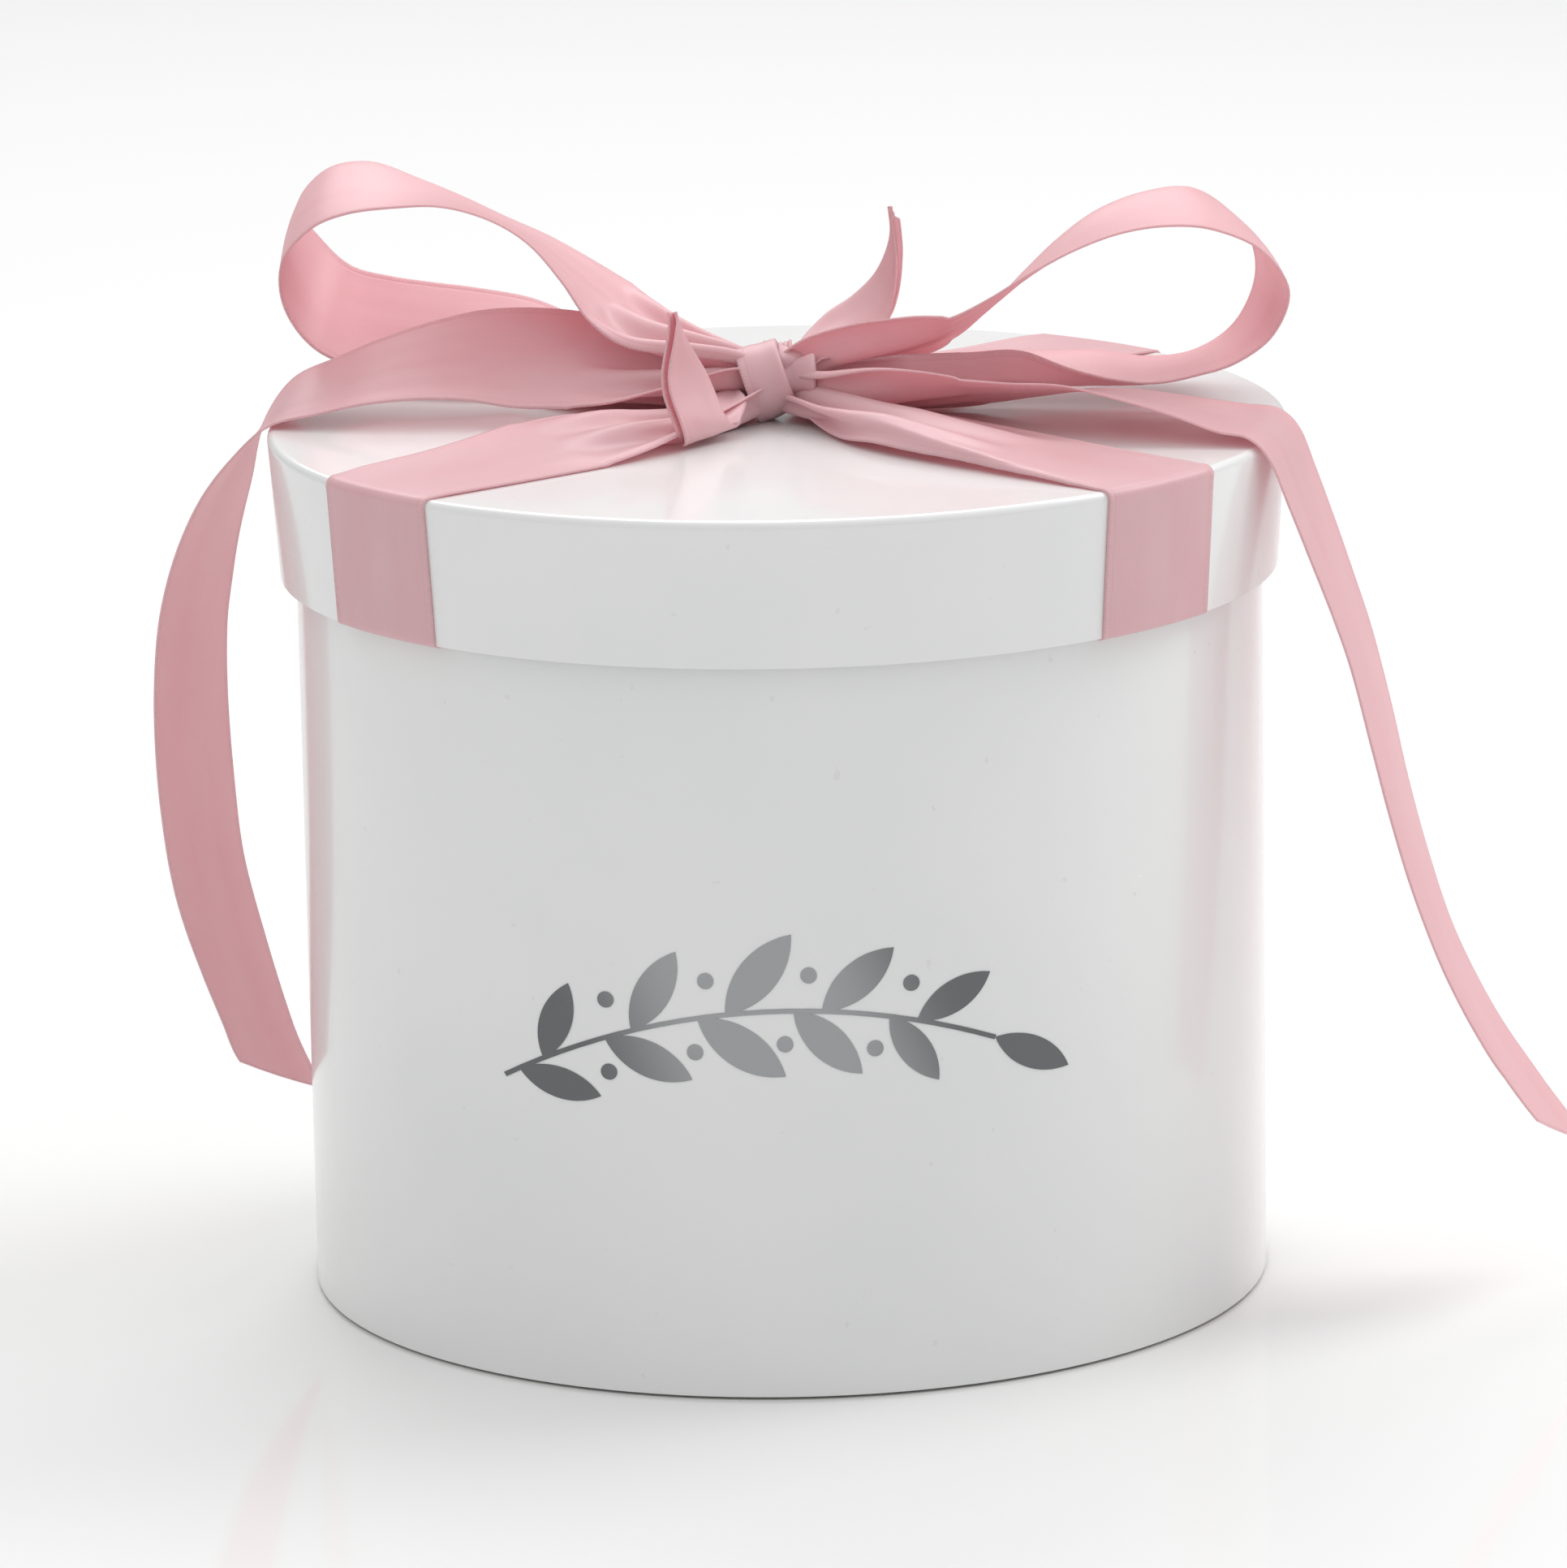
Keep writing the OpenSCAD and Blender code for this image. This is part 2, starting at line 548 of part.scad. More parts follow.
wall_board();
base_board();
base_cover();
wall_wrap();
wall_lining();
base_lining();
foil_sprig();
lid_board();
skirt_board();
lid_top_paper();
lid_side_band();
lid_lining();
skirt_lining();
strap(strap_front_left_route, front_left_heading, -1);  // strap_front_left
strap(strap_front_right_route, front_right_heading, 1);  // strap_front_right
strap(strap_back_route, back_left_heading, -1);  // strap_back_left
strap(strap_back_route, back_right_heading, 1);  // strap_back_right
ribbon(loop_left_route, square_cut);  // bow_loop_left
ribbon(loop_right_route, square_cut);  // bow_loop_right
ribbon(tail_left_route, slant_cut);  // bow_tail_left
ribbon(tail_right_route, slant_cut);  // bow_tail_right
knot_core();
knot_front_turn();
knot_back_turn();
ribbon(end_front_route, square_cut);  // tie_end_front
ribbon(end_back_route, square_cut);  // tie_end_back
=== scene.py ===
import json
import math
import bmesh
import bpy
from mathutils import Matrix, Vector


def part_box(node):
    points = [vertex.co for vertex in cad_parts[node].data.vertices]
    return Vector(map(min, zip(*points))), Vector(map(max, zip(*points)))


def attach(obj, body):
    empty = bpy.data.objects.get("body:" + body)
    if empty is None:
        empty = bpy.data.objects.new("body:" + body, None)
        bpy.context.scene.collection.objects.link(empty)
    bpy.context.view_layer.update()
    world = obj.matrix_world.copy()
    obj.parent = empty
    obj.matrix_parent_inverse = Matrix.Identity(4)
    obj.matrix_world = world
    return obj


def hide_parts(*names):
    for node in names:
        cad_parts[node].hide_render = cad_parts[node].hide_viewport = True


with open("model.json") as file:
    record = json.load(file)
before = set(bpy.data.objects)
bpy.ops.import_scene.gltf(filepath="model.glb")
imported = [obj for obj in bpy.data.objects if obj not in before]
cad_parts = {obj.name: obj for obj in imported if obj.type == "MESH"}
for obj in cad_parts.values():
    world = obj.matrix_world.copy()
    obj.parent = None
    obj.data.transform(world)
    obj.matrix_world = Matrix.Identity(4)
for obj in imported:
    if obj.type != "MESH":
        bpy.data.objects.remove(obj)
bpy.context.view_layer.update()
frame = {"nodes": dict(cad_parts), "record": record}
print("frame loaded:", len(frame["nodes"]), "nodes")

mm = 0.001
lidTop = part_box("lid_top_paper")[1].z          # top of the lid
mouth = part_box("lid_side_band")[0].z           # lower edge of the lid
drawnRadius = 0.0824                           # radius of the lid that the ribbon's routes are drawn on
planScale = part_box("lid_side_band")[1].x / drawnRadius

camera = {
    "elevation": 13.39,        # degrees above the horizon
    "roll": -1.046,
    "distance": 1.5193,        # from the point it looks at
    "target": (0.0, 0.0, 0.08066),
    "lens": 213.67,            # on a 36 mm sensor
}


def placeCamera(c):
    data = bpy.data.cameras.new("camera")
    data.lens = c["lens"]
    data.sensor_width = 36
    data.clip_end = 50
    data.dof.use_dof = False
    obj = bpy.data.objects.new("camera", data)
    bpy.context.scene.collection.objects.link(obj)
    tilt = math.radians(c["elevation"])
    away = Vector((0, -math.cos(tilt), math.sin(tilt)))
    side = Vector((1, 0, 0))
    top = away.cross(side)
    turn = math.radians(c["roll"])
    across = math.cos(turn) * side + math.sin(turn) * top
    upward = math.cos(turn) * top - math.sin(turn) * side
    place = Vector(c["target"]) + away * c["distance"]
    pose = Matrix((across, upward, away)).transposed().to_4x4()
    obj.matrix_world = Matrix.Translation(place) @ pose
    bpy.context.scene.camera = obj


placeCamera(camera)
bpy.context.scene.view_settings.view_transform = "Standard"
print("camera placed")


class Wire:
    # one output socket, with arithmetic
    def __init__(self, graph, socket):
        self.graph = graph
        self.socket = socket

    def maths(self, operation, *others):
        inputs = dict(enumerate((self, *others)))
        node = self.graph.node("ShaderNodeMath", {"operation": operation}, inputs)
        return self.graph.wire(node, 0)

    def __add__(self, other):
        return self.maths("ADD", other)

    def __radd__(self, other):
        return self.maths("ADD", other)

    def __sub__(self, other):
        return self.maths("SUBTRACT", other)

    def __rsub__(self, other):
        return self.maths("MULTIPLY_ADD", -1.0, other)

    def __mul__(self, other):
        return self.maths("MULTIPLY", other)

    def __rmul__(self, other):
        return self.maths("MULTIPLY", other)

    def sine(self):
        return self.maths("SINE")

    def least(self, other):
        return self.maths("MINIMUM", other)

    def ramp(self, low, high):
        # 0 below low, 1 above high, smooth between
        node = self.graph.node("ShaderNodeMapRange", {"interpolation_type": "SMOOTHSTEP"},
                               {"Value": self, "From Min": low, "From Max": high})
        return self.graph.wire(node, "Result")


class Graph:
    # the nodes of a material or of the world
    def __init__(self, owner):
        owner.use_nodes = True
        self.owner = owner
        self.tree = owner.node_tree
        self.tree.nodes.clear()

    def wire(self, node, output):
        return Wire(self, node.outputs[output])

    def node(self, kind, settings=None, inputs=None):
        made = self.tree.nodes.new(kind)
        for name, value in (settings or {}).items():
            setattr(made, name, value)
        for name, value in (inputs or {}).items():
            if isinstance(value, Wire):
                self.tree.links.new(value.socket, made.inputs[name])
            else:
                made.inputs[name].default_value = value
        return made

    def place(self, coordinates, scale):
        # point on the piece, with each axis multiplied
        source = self.wire(self.node("ShaderNodeTexCoord"), coordinates)
        node = self.node("ShaderNodeMapping", {}, {"Vector": source, "Scale": scale})
        return self.wire(node, "Vector")

    def noise(self, vector, scale, detail=2.0, roughness=0.5):
        node = self.node("ShaderNodeTexNoise", {},
                         {"Vector": vector, "Scale": scale, "Detail": detail, "Roughness": roughness})
        return self.wire(node, "Fac")

    def split(self, vector):
        node = self.node("ShaderNodeSeparateXYZ", {}, {"Vector": vector})
        return [self.wire(node, axis) for axis in "XYZ"]

    def mixColour(self, share, first, second):
        node = self.node("ShaderNodeMix", {"data_type": "RGBA"},
                         {"Factor": share, 6: first, 7: second})       # 6 and 7 are its colours
        return self.wire(node, 2)

    def bump(self, height, distance, strength=1.0):
        node = self.node("ShaderNodeBump", {},
                         {"Height": height, "Distance": distance, "Strength": strength})
        return self.wire(node, "Normal")

    def finish(self, values):
        shader = self.node("ShaderNodeBsdfPrincipled", {}, values)
        self.node("ShaderNodeOutputMaterial", {}, {"Surface": self.wire(shader, "BSDF")})
        return self.owner


def newMaterial(name, shown=(0.8, 0.8, 0.8, 1)):
    material = bpy.data.materials.new(name)
    material.diffuse_color = shown
    return Graph(material)


ribbon = {
    "width": 25 * mm,
    "thickness": 0.35 * mm,
    "body": 0.8,               # thickness of the middle, as a share of the woven edges'
    "cells": 56,               # across the width
    "fine": 6,                 # steps of the bending in one cell
    "rim": 2,                  # cells of woven edge
    "steps": 8,                # from one station to the next
}

satin = {
    "light": (0.96, 0.72, 0.75, 1),
    "deep": (0.91, 0.60, 0.64, 1),
    "edge": (0.95, 0.69, 0.72, 1),
    "through": (0.96, 0.56, 0.60, 1),      # colour of light that comes through
    "thin": 0.36,              # share of the light that comes through
    "selvage": 0.8 * mm,       # width of the woven edge
    "pick": 0.5 * mm,          # spacing of the edge's turns
    "weft": 0.18 * mm,         # spacing of the threads across
    "floats": (5200, 150, 1),  # how fine the long threads are, across and along
    "clouds": (90, 30, 1),
    "creases": (160, 9, 1),
    "roughness": 0.30,
}


def satinRibbon(s):
    # UV is in metres: u across the ribbon, v along it
    g = newMaterial("satin_ribbon", (0.85, 0.5, 0.55, 1))
    across, along = g.split(g.place("UV", (1, 1, 1)))[:2]
    fromEdge = across.least(ribbon["width"] - across)
    edge = 1 - fromEdge.ramp(s["selvage"] * 0.8, s["selvage"] * 1.1)
    # the groove inside the edge is sunk in the bump and also painted darker there, as painted shade
    groove_and_painted_shade = (fromEdge.ramp(s["selvage"] * 1.05, s["selvage"] * 1.3)       # groove inside the edge
            * (1 - fromEdge.ramp(s["selvage"] * 1.5, s["selvage"] * 1.9)))
    floats = g.noise(g.place("UV", s["floats"]), 1.0, 3.0, 0.6)
    picks = (along * (2 * math.pi / s["weft"])).sine() * 0.5 + 0.5
    turns = (along * (2 * math.pi / s["pick"])).sine() * 0.5 + 0.5
    dots = turns.ramp(0.35, 0.75)
    cloudy = g.noise(g.place("UV", s["clouds"]), 1.0, 2.0, 0.5)
    creased = g.noise(g.place("UV", s["creases"]), 1.0, 2.0, 0.45)
    tone = cloudy * 0.45 + floats * 0.35 + creased * 0.2
    body = g.mixColour(tone.ramp(0.25, 0.72), s["deep"], s["light"])
    # painted shade: the groove inside the woven edge is pulled towards the deep pink
    body = g.mixColour(groove_and_painted_shade * 0.35, body, s["deep"])
    colour = g.mixColour(edge * (0.35 + dots * 0.5), body, s["edge"])
    height = floats * 0.5 + picks * 0.1 + creased * 2.2
    normal = g.bump(height * (1 - edge) + (dots * 1.2 + 0.8) * edge - groove_and_painted_shade * 0.8, 0.06 * mm, 0.6)
    rough = s["roughness"] + edge * 0.22 + floats * 0.14
    shader = g.node("ShaderNodeBsdfPrincipled", {}, {
        "Base Color": colour, "Roughness": rough, "Normal": normal,
        "Sheen Weight": 0.45, "Sheen Roughness": 0.3, "Sheen Tint": (1.0, 0.88, 0.9, 1),
        "Specular IOR Level": 0.6,
    })
    glow = g.node("ShaderNodeBsdfTranslucent", {}, {"Color": s["through"], "Normal": normal})
    both = g.node("ShaderNodeMixShader", {},
                  {0: s["thin"], 1: g.wire(shader, "BSDF"), 2: g.wire(glow, "BSDF")})
    g.node("ShaderNodeOutputMaterial", {}, {"Surface": g.wire(both, 0)})
    return g.owner


paper = {
    "white": (0.86, 0.865, 0.86, 1),
    "shade": (0.80, 0.81, 0.81, 1),
    "dust": (0.55, 0.55, 0.53, 1),
    "roughness": 0.17,
}


def glossPaper(p):
    g = newMaterial("gloss_paper")
    spot = g.place("Object", (1, 1, 1))
    slow = g.noise(spot, 18, 3.0, 0.5)         # uneven glue under the paper
    fine = g.noise(spot, 900, 3.0, 0.6)
    dust = g.noise(spot, 420, 1.0, 0.5).ramp(0.76, 0.8)
    scuff = g.noise(g.place("Object", (60, 60, 700)), 1.0, 4.0, 0.6).ramp(0.62, 0.8)
    colour = g.mixColour(slow.ramp(0.3, 0.7) * 0.5, p["white"], p["shade"])
    colour = g.mixColour(dust * 0.18, colour, p["dust"])
    rough = p["roughness"] + scuff * 0.1 + fine * 0.05
    normal = g.bump(slow * 1.0 + fine * 0.012, 0.35 * mm, 0.55)
    return g.finish({
        "Base Color": colour, "Roughness": rough, "Normal": normal,
        "Specular IOR Level": 0.5, "Coat Weight": 0.25, "Coat Roughness": 0.06,
    })


lining = {
    "light": (0.86, 0.86, 0.84, 1),
    "shade": (0.80, 0.80, 0.77, 1),
    "roughness": 0.62,
}


def liningPaper(l):
    g = newMaterial("lining_paper")
    spot = g.place("Object", (1, 1, 1))
    fibres = g.noise(spot, 1500, 4.0, 0.7)
    clouds = g.noise(spot, 60, 3.0, 0.5)
    colour = g.mixColour(clouds.ramp(0.3, 0.7), l["shade"], l["light"])
    return g.finish({
        "Base Color": colour, "Roughness": l["roughness"] + fibres * 0.2,
        "Normal": g.bump(fibres, 0.04 * mm, 0.5), "Specular IOR Level": 0.3,
    })


board = {
    "light": (0.52, 0.50, 0.46, 1),
    "dark": (0.36, 0.34, 0.31, 1),
    "fleck": (0.2, 0.19, 0.18, 1),
    "roughness": 0.82,
}


def greyBoard(b):
    g = newMaterial("greyboard")
    spot = g.place("Object", (1, 1, 1))
    fibres = g.noise(spot, 700, 5.0, 0.75)
    flecks = g.noise(spot, 1800, 1.0, 0.5).ramp(0.68, 0.74)
    layers = g.noise(g.place("Object", (80, 80, 2600)), 1.0, 2.0, 0.5)
    colour = g.mixColour(fibres.ramp(0.25, 0.75), b["dark"], b["light"])
    colour = g.mixColour(flecks * 0.5, colour, b["fleck"])
    return g.finish({
        "Base Color": colour, "Roughness": b["roughness"] + fibres * 0.1,
        "Normal": g.bump(fibres + layers * 0.6, 0.1 * mm, 0.7), "Specular IOR Level": 0.2,
    })


# the foil's base colour sweeps in sine bands between these two tones across and up the box, as a painted
# sheen
foil = {
    "painted_sheen_light": (0.38, 0.385, 0.395, 1),
    "dark": (0.16, 0.162, 0.168, 1),
    "roughness": 0.30,
    "sweep": 75,               # how fast the shine changes across the box
    "climb": 30,               # and up it
}


def greyFoil(f):
    g = newMaterial("grey_foil")
    spot = g.place("Object", (1, 1, 1))
    across, depth, height = g.split(spot)
    # painted sheen: sine bands across and up the box, from the dark tone to the painted light tone
    sweep = ((across * f["sweep"] + height * f["climb"]).sine() * 0.5 + 0.5).ramp(0.1, 0.9)
    grain = g.noise(spot, 2600, 3.0, 0.6)
    colour = g.mixColour(sweep, f["dark"], f["painted_sheen_light"])
    return g.finish({
        "Base Color": colour, "Metallic": 0.85 - grain * 0.1,
        "Roughness": f["roughness"] + grain * 0.12,
        "Normal": g.bump(grain, 0.01 * mm, 0.4),
    })


finishes = {
    "satin_ribbon": satinRibbon(satin),
    "gloss_paper": glossPaper(paper),
    "lining_paper": liningPaper(lining),
    "greyboard": greyBoard(board),
    "grey_foil": greyFoil(foil),
}
print("materials ready:", len(finishes))


def paint(obj, slotName):
    obj.data.materials.clear()
    obj.data.materials.append(finishes[slotName])


for part in frame["record"]["subparts"]:
    paint(frame["nodes"][part["node"]], part["material_slot"])


def newPiece(name, bm, body, slotName):
    mesh = bpy.data.meshes.new(name)
    bm.to_mesh(mesh)
    bm.free()
    obj = bpy.data.objects.new(name, mesh)
    bpy.context.scene.collection.objects.link(obj)
    for face in mesh.polygons:
        face.use_smooth = True
    paint(obj, slotName)
    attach(obj, body)
    return obj


def between(low, high, value):
    # 0 at low, 1 at high, eased between them
    share = min(max((value - low) / (high - low), 0.0), 1.0)
    return share * share * (3 - 2 * share)


def splineAt(a, b, c, d, t):
    return [q + t / 2 * ((r - p) + t * ((2 * p - 5 * q + 4 * r - s) + t * (3 * q - p - 3 * r + s)))
            for p, q, r, s in zip(a, b, c, d)]


def splineRows(stations, steps):
    last = len(stations) - 1
    rows = []
    for i in range(last):
        around = [stations[min(max(k, 0), last)] for k in range(i - 1, i + 3)]
        rows += [splineAt(*around, k / steps) for k in range(steps)]
    return rows + [list(stations[-1])]


def gatherAngle(share):
    # swing of the pleats that brings a flat width down to a share of itself
    return 2.2 * math.sqrt(1 - min(max(share, 0.1), 1.0))


def crossSection(share, shape):
    # points across the ribbon, as (along its width, off its plane), true to its width
    width, cells, fine = ribbon["width"], ribbon["cells"], ribbon["fine"]
    fold, folds = shape.get("fold", 0.0), shape.get("folds", [])
    foldAngle = math.radians(shape.get("foldAngle", 170))
    swing = gatherAngle(share / (1 - fold)) if fold < 0.9 else 0.0
    ripple, cup = math.radians(shape.get("ripple", 0)), math.radians(shape.get("cup", 0))
    pleats, phase = shape.get("pleats", 3), shape.get("phase", 0)
    step = width / (cells * fine)
    points = [(0.0, 0.0)]
    x = y = 0.0
    for k in range(cells * fine):
        v = (k + 0.5) / (cells * fine)
        wave = 2 * math.pi * (pleats * v + phase)
        angle = swing * math.sin(wave + 0.7 * math.sin(2 * math.pi * (v + phase)))
        angle += ripple * math.sin(1.7 * wave) + cup * (v - 0.5)
        if fold > 0.002:
            angle += foldAngle * (1 - between(fold - 0.03, fold + 0.03, v))
        for place, turn in folds:
            angle += math.radians(turn) * between(place - 0.025, place + 0.025, v)
        x += step * math.cos(angle)
        y += step * math.sin(angle)
        if (k + 1) % fine == 0:
            points.append((x, y))
    held = [p for j, p in enumerate(points) if j / cells >= fold - 1e-6]
    midX = (min(p[0] for p in held) + max(p[0] for p in held)) / 2
    midY = sum(p[1] for p in held) / len(held)
    return [(px - midX, py - midY) for px, py in points]


def shapeAt(spec, u):
    # what the ribbon's cross-section is at one place along it
    shape = {"pleats": spec["pleats"], "phase": profileAt(spec["phase"], u)}
    for name in ("cup", "ripple", "fold", "foldAngle"):
        if name in spec:
            shape[name] = profileAt(spec[name], u)
    return shape


def ribbonMesh(name, rows, replaced):
    # rows are lists of points across the ribbon, one list for each place along it
    cells = len(rows[0]) - 1
    bm = bmesh.new()
    uv = bm.loops.layers.uv.new("UVMap")
    bmesh.ops.create_grid(bm, x_segments=len(rows) - 1, y_segments=cells, size=0.5)
    run = [0.0]
    for before, after in zip(rows, rows[1:]):
        run.append(run[-1] + (after[cells // 2] - before[cells // 2]).length)
    for vert in bm.verts:
        i = round((vert.co.x + 0.5) * (len(rows) - 1))
        j = round((vert.co.y + 0.5) * cells)
        vert.index = i * (cells + 1) + j
    for face in bm.faces:
        for loop in face.loops:
            i, j = divmod(loop.vert.index, cells + 1)
            loop[uv].uv = (j / cells * ribbon["width"], run[i])
    for vert in bm.verts:
        i, j = divmod(vert.index, cells + 1)
        vert.co = rows[i][j]
    order = [v.index % (cells + 1) for v in bm.verts]
    obj = newPiece(name, bm, "lid", "satin_ribbon")
    group = obj.vertex_groups.new(name="edge")
    for index, j in enumerate(order):
        near = min(j, cells - j)
        group.add([index], 1.0 if near < ribbon["rim"] else ribbon["body"], "REPLACE")
    solid = obj.modifiers.new("thickness", "SOLIDIFY")
    solid.thickness = ribbon["thickness"]
    solid.offset = 0
    solid.use_even_offset = False
    solid.vertex_group = "edge"
    if replaced:
        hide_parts(*replaced)
    return obj


def stationMiddle(s):
    return Vector((s[0] * mm * planScale, s[1] * mm * planScale, lidTop + s[2] * mm))


def stationAcross(s):
    turn, lean = math.radians(s[3]), math.radians(s[4])
    return Vector((math.cos(turn) * math.cos(lean), math.sin(turn) * math.cos(lean), math.sin(lean)))


def profileAt(knots, u):
    # value of a list of (place along, value) at u, eased between them
    if u <= knots[0][0]:
        return knots[0][1]
    for (u0, a), (u1, b) in zip(knots, knots[1:]):
        if u <= u1:
            return a + (b - a) * between(u0, u1, u)
    return knots[-1][1]


def freeRibbon(name, spec, replaced):
    # cut is how far a slanted end runs on at one edge, in mm
    stations = splineRows(spec["route"], ribbon["steps"])
    middles = [stationMiddle(s) for s in stations]
    last = len(stations) - 1
    rows = []
    for i, s in enumerate(stations):
        u = i / last
        ahead = (middles[min(i + 1, last)] - middles[max(i - 1, 0)]).normalized()
        across = stationAcross(s)
        off = across.cross(ahead).normalized() * spec.get("front", 1)
        share = min(max(s[5], 0.1), 1.0)
        run = between(last - 3 * ribbon["steps"], last, i) * spec.get("cut", 0) * mm
        if "layers" in spec:       # folded lengthwise, then pinched or cut to a point
            layers = spec["layers"]
            turns = [(k / layers, 176 if k % 2 else -176) for k in range(1, layers)]
            pinch = min(1.0, share * layers)
            shape = dict(shapeAt(spec, u), folds=turns)
            section = [(a * pinch, b) for a, b in crossSection(1, shape)]
        else:
            section = crossSection(share, shapeAt(spec, u))
        row = []
        for a, b in section:
            v = a / ribbon["width"] * 2
            row.append(middles[i] + across * a + off * b + ahead * run * v)
        rows.append(row)
    return ribbonMesh(name, rows, replaced)


# a station is x, y and height above the lid in mm, the turn and lean of the ribbon's width
# in degrees, and the share of its width that it is gathered to
loopLeft = {
    "route": [
        (-1.5, 0.4, 7.6, 90, 0, 0.26), (-7, 1, 10, 90, 0, 0.38), (-13, 3.5, 11.5, 84, 4, 0.55),
        (-21, 7.5, 13.6, 74, 7, 0.85), (-27, 11, 17.2, 74, 3, 1), (-32.5, 13.5, 22, 80, -2, 1),
        (-38.5, 16.5, 26.6, 84, -7, 1), (-45, 19.5, 29.8, 85, -9, 1), (-52.5, 23, 32.3, 84, -6, 1),
        (-60, 26.5, 33.4, 82, 1, 1), (-68, 30, 34, 83, 10, 1), (-75, 33, 31.7, 86, 13, 1),
        (-80, 36, 25.4, 86, 12, 1), (-78, 38, 18, 77, 16, 1), (-73, 37.5, 12.4, 77, 23, 1),
        (-65.5, 35.5, 10.1, 83, 28, 1), (-58, 33.5, 9.4, 87, 28, 1), (-50, 31, 8.8, 87, 28, 1),
        (-42, 29, 7.8, 82, 26, 1), (-35, 25.5, 6.6, 76, 18, 1), (-28, 20.5, 6, 70, 13, 0.95),
        (-21, 14.5, 5.5, 68, 8, 0.8), (-13, 8.5, 5.3, 74, 4, 0.6), (-7, 3.5, 5.5, 88, 0, 0.4),
        (-1.5, 0.8, 6, 90, 0, 0.26),
    ],
    "pleats": 2.6, "phase": [(0, 0.1), (0.4, 0.22), (0.6, 0.4), (1, 0.55)],
    "cup": [(0, 0), (0.2, 14), (0.5, -10), (0.8, 8), (1, 0)],
    "ripple": [(0, 14), (0.16, 6), (0.3, 0.5), (0.8, 0.5), (1, 12)],
}
loopRight = {
    "route": [
        (2.5, 0.4, 7.6, 90, -4, 0.26), (6.6, 1, 9.8, 90, -10, 0.36), (13, 2.5, 11, 92, -16, 0.58),
        (21, 4, 11.5, 90, -20, 0.84), (28.5, 5, 13, 88, -18, 1), (35, 5.5, 17, 88, -13, 1),
        (41, 6.5, 21.5, 90, -9, 1), (47.5, 7, 26, 93, -5, 1), (54.5, 8, 29.5, 96, -1, 1),
        (62, 8.5, 31.5, 96, 3, 1), (69.5, 9.5, 31.5, 96, 6, 1), (76.5, 10, 28, 100, 6, 1),
        (81, 12, 21.5, 101, 9, 1), (80, 14, 14, 94, 10, 1), (75, 14.5, 8, 88, 4, 1),
        (68, 14.5, 5, 87, -1, 1), (60, 15, 4, 87, 1, 1), (52, 15.5, 4.5, 88, 5, 1),
        (44, 15.5, 4.5, 93, 6, 1), (36.5, 15, 5, 100, 6, 1), (29, 12.5, 5, 106, 5, 1),
        (21.5, 10, 5.5, 108, 5, 0.9), (13, 7, 6, 105, 5, 0.62), (7.2, 3.5, 6.6, 90, 4, 0.36),
        (2.5, 1, 6, 90, 0, 0.26),
    ],
    "front": -1,
    "pleats": 2.4, "phase": [(0, 0.35), (0.4, 0.5), (1, 0.8)],
    "fold": [(0, 0), (0.6, 0), (0.68, 0.12), (0.8, 0.22), (0.93, 0.2), (1, 0)],
    "foldAngle": [(0, 0), (0.62, 0), (0.8, 95), (1, 110)],
    "cup": [(0, 0), (0.3, 12), (0.5, -12), (0.7, 4), (1, 0)],
    "ripple": [(0, 14), (0.16, 5), (0.3, 0.5), (0.8, 1), (1, 12)],
}
tailLeft = {
    "route": [
        (-1.5, -0.5, 6.5, 90, 4, 0.26), (-7, -1.5, 7.8, 90, 8, 0.4), (-14.5, -0.5, 8, 80, 20, 0.62),
        (-23, 1.5, 8.6, 78, 23, 0.9), (-31.5, 3, 9.7, 78, 27, 1), (-40, 4, 9.9, 79, 29, 1),
        (-48.5, 5.5, 10, 81, 25, 1), (-56.5, 6.5, 9.1, 82, 20, 1), (-65, 7.5, 7.2, 83, 15, 1),
        (-73, 8.5, 4.6, 83, 11, 1), (-80.5, 10, 1.7, 83, 7, 1), (-86, 11, -4.6, 81, 2, 1),
        (-89.8, 12, -12.4, 74, -3, 1), (-93, 12.5, -20.8, 70, -5, 1), (-95.2, 13, -29.2, 67, -4, 1),
        (-96.5, 13, -37.5, 66, -2, 1), (-97, 13, -49.5, 65, 0, 1), (-96.5, 13, -63.5, 65, 2, 1),
        (-95, 13, -77.5, 67, 4, 1), (-91.5, 13, -91.5, 70, 5, 1), (-87.5, 13, -104.5, 74, 6, 1),
        (-84.5, 13, -112, 76, 6, 1),
    ],
    "pleats": 2.4, "phase": [(0, 0.6), (0.3, 0.72), (1, 0.8)], "cut": 7.5,
    "cup": [(0, 0), (0.15, -16), (0.3, 10), (0.45, 12), (0.7, 4), (1, -8)],
    "ripple": [(0, 14), (0.12, 8), (0.26, 1), (1, 0.5)],
}
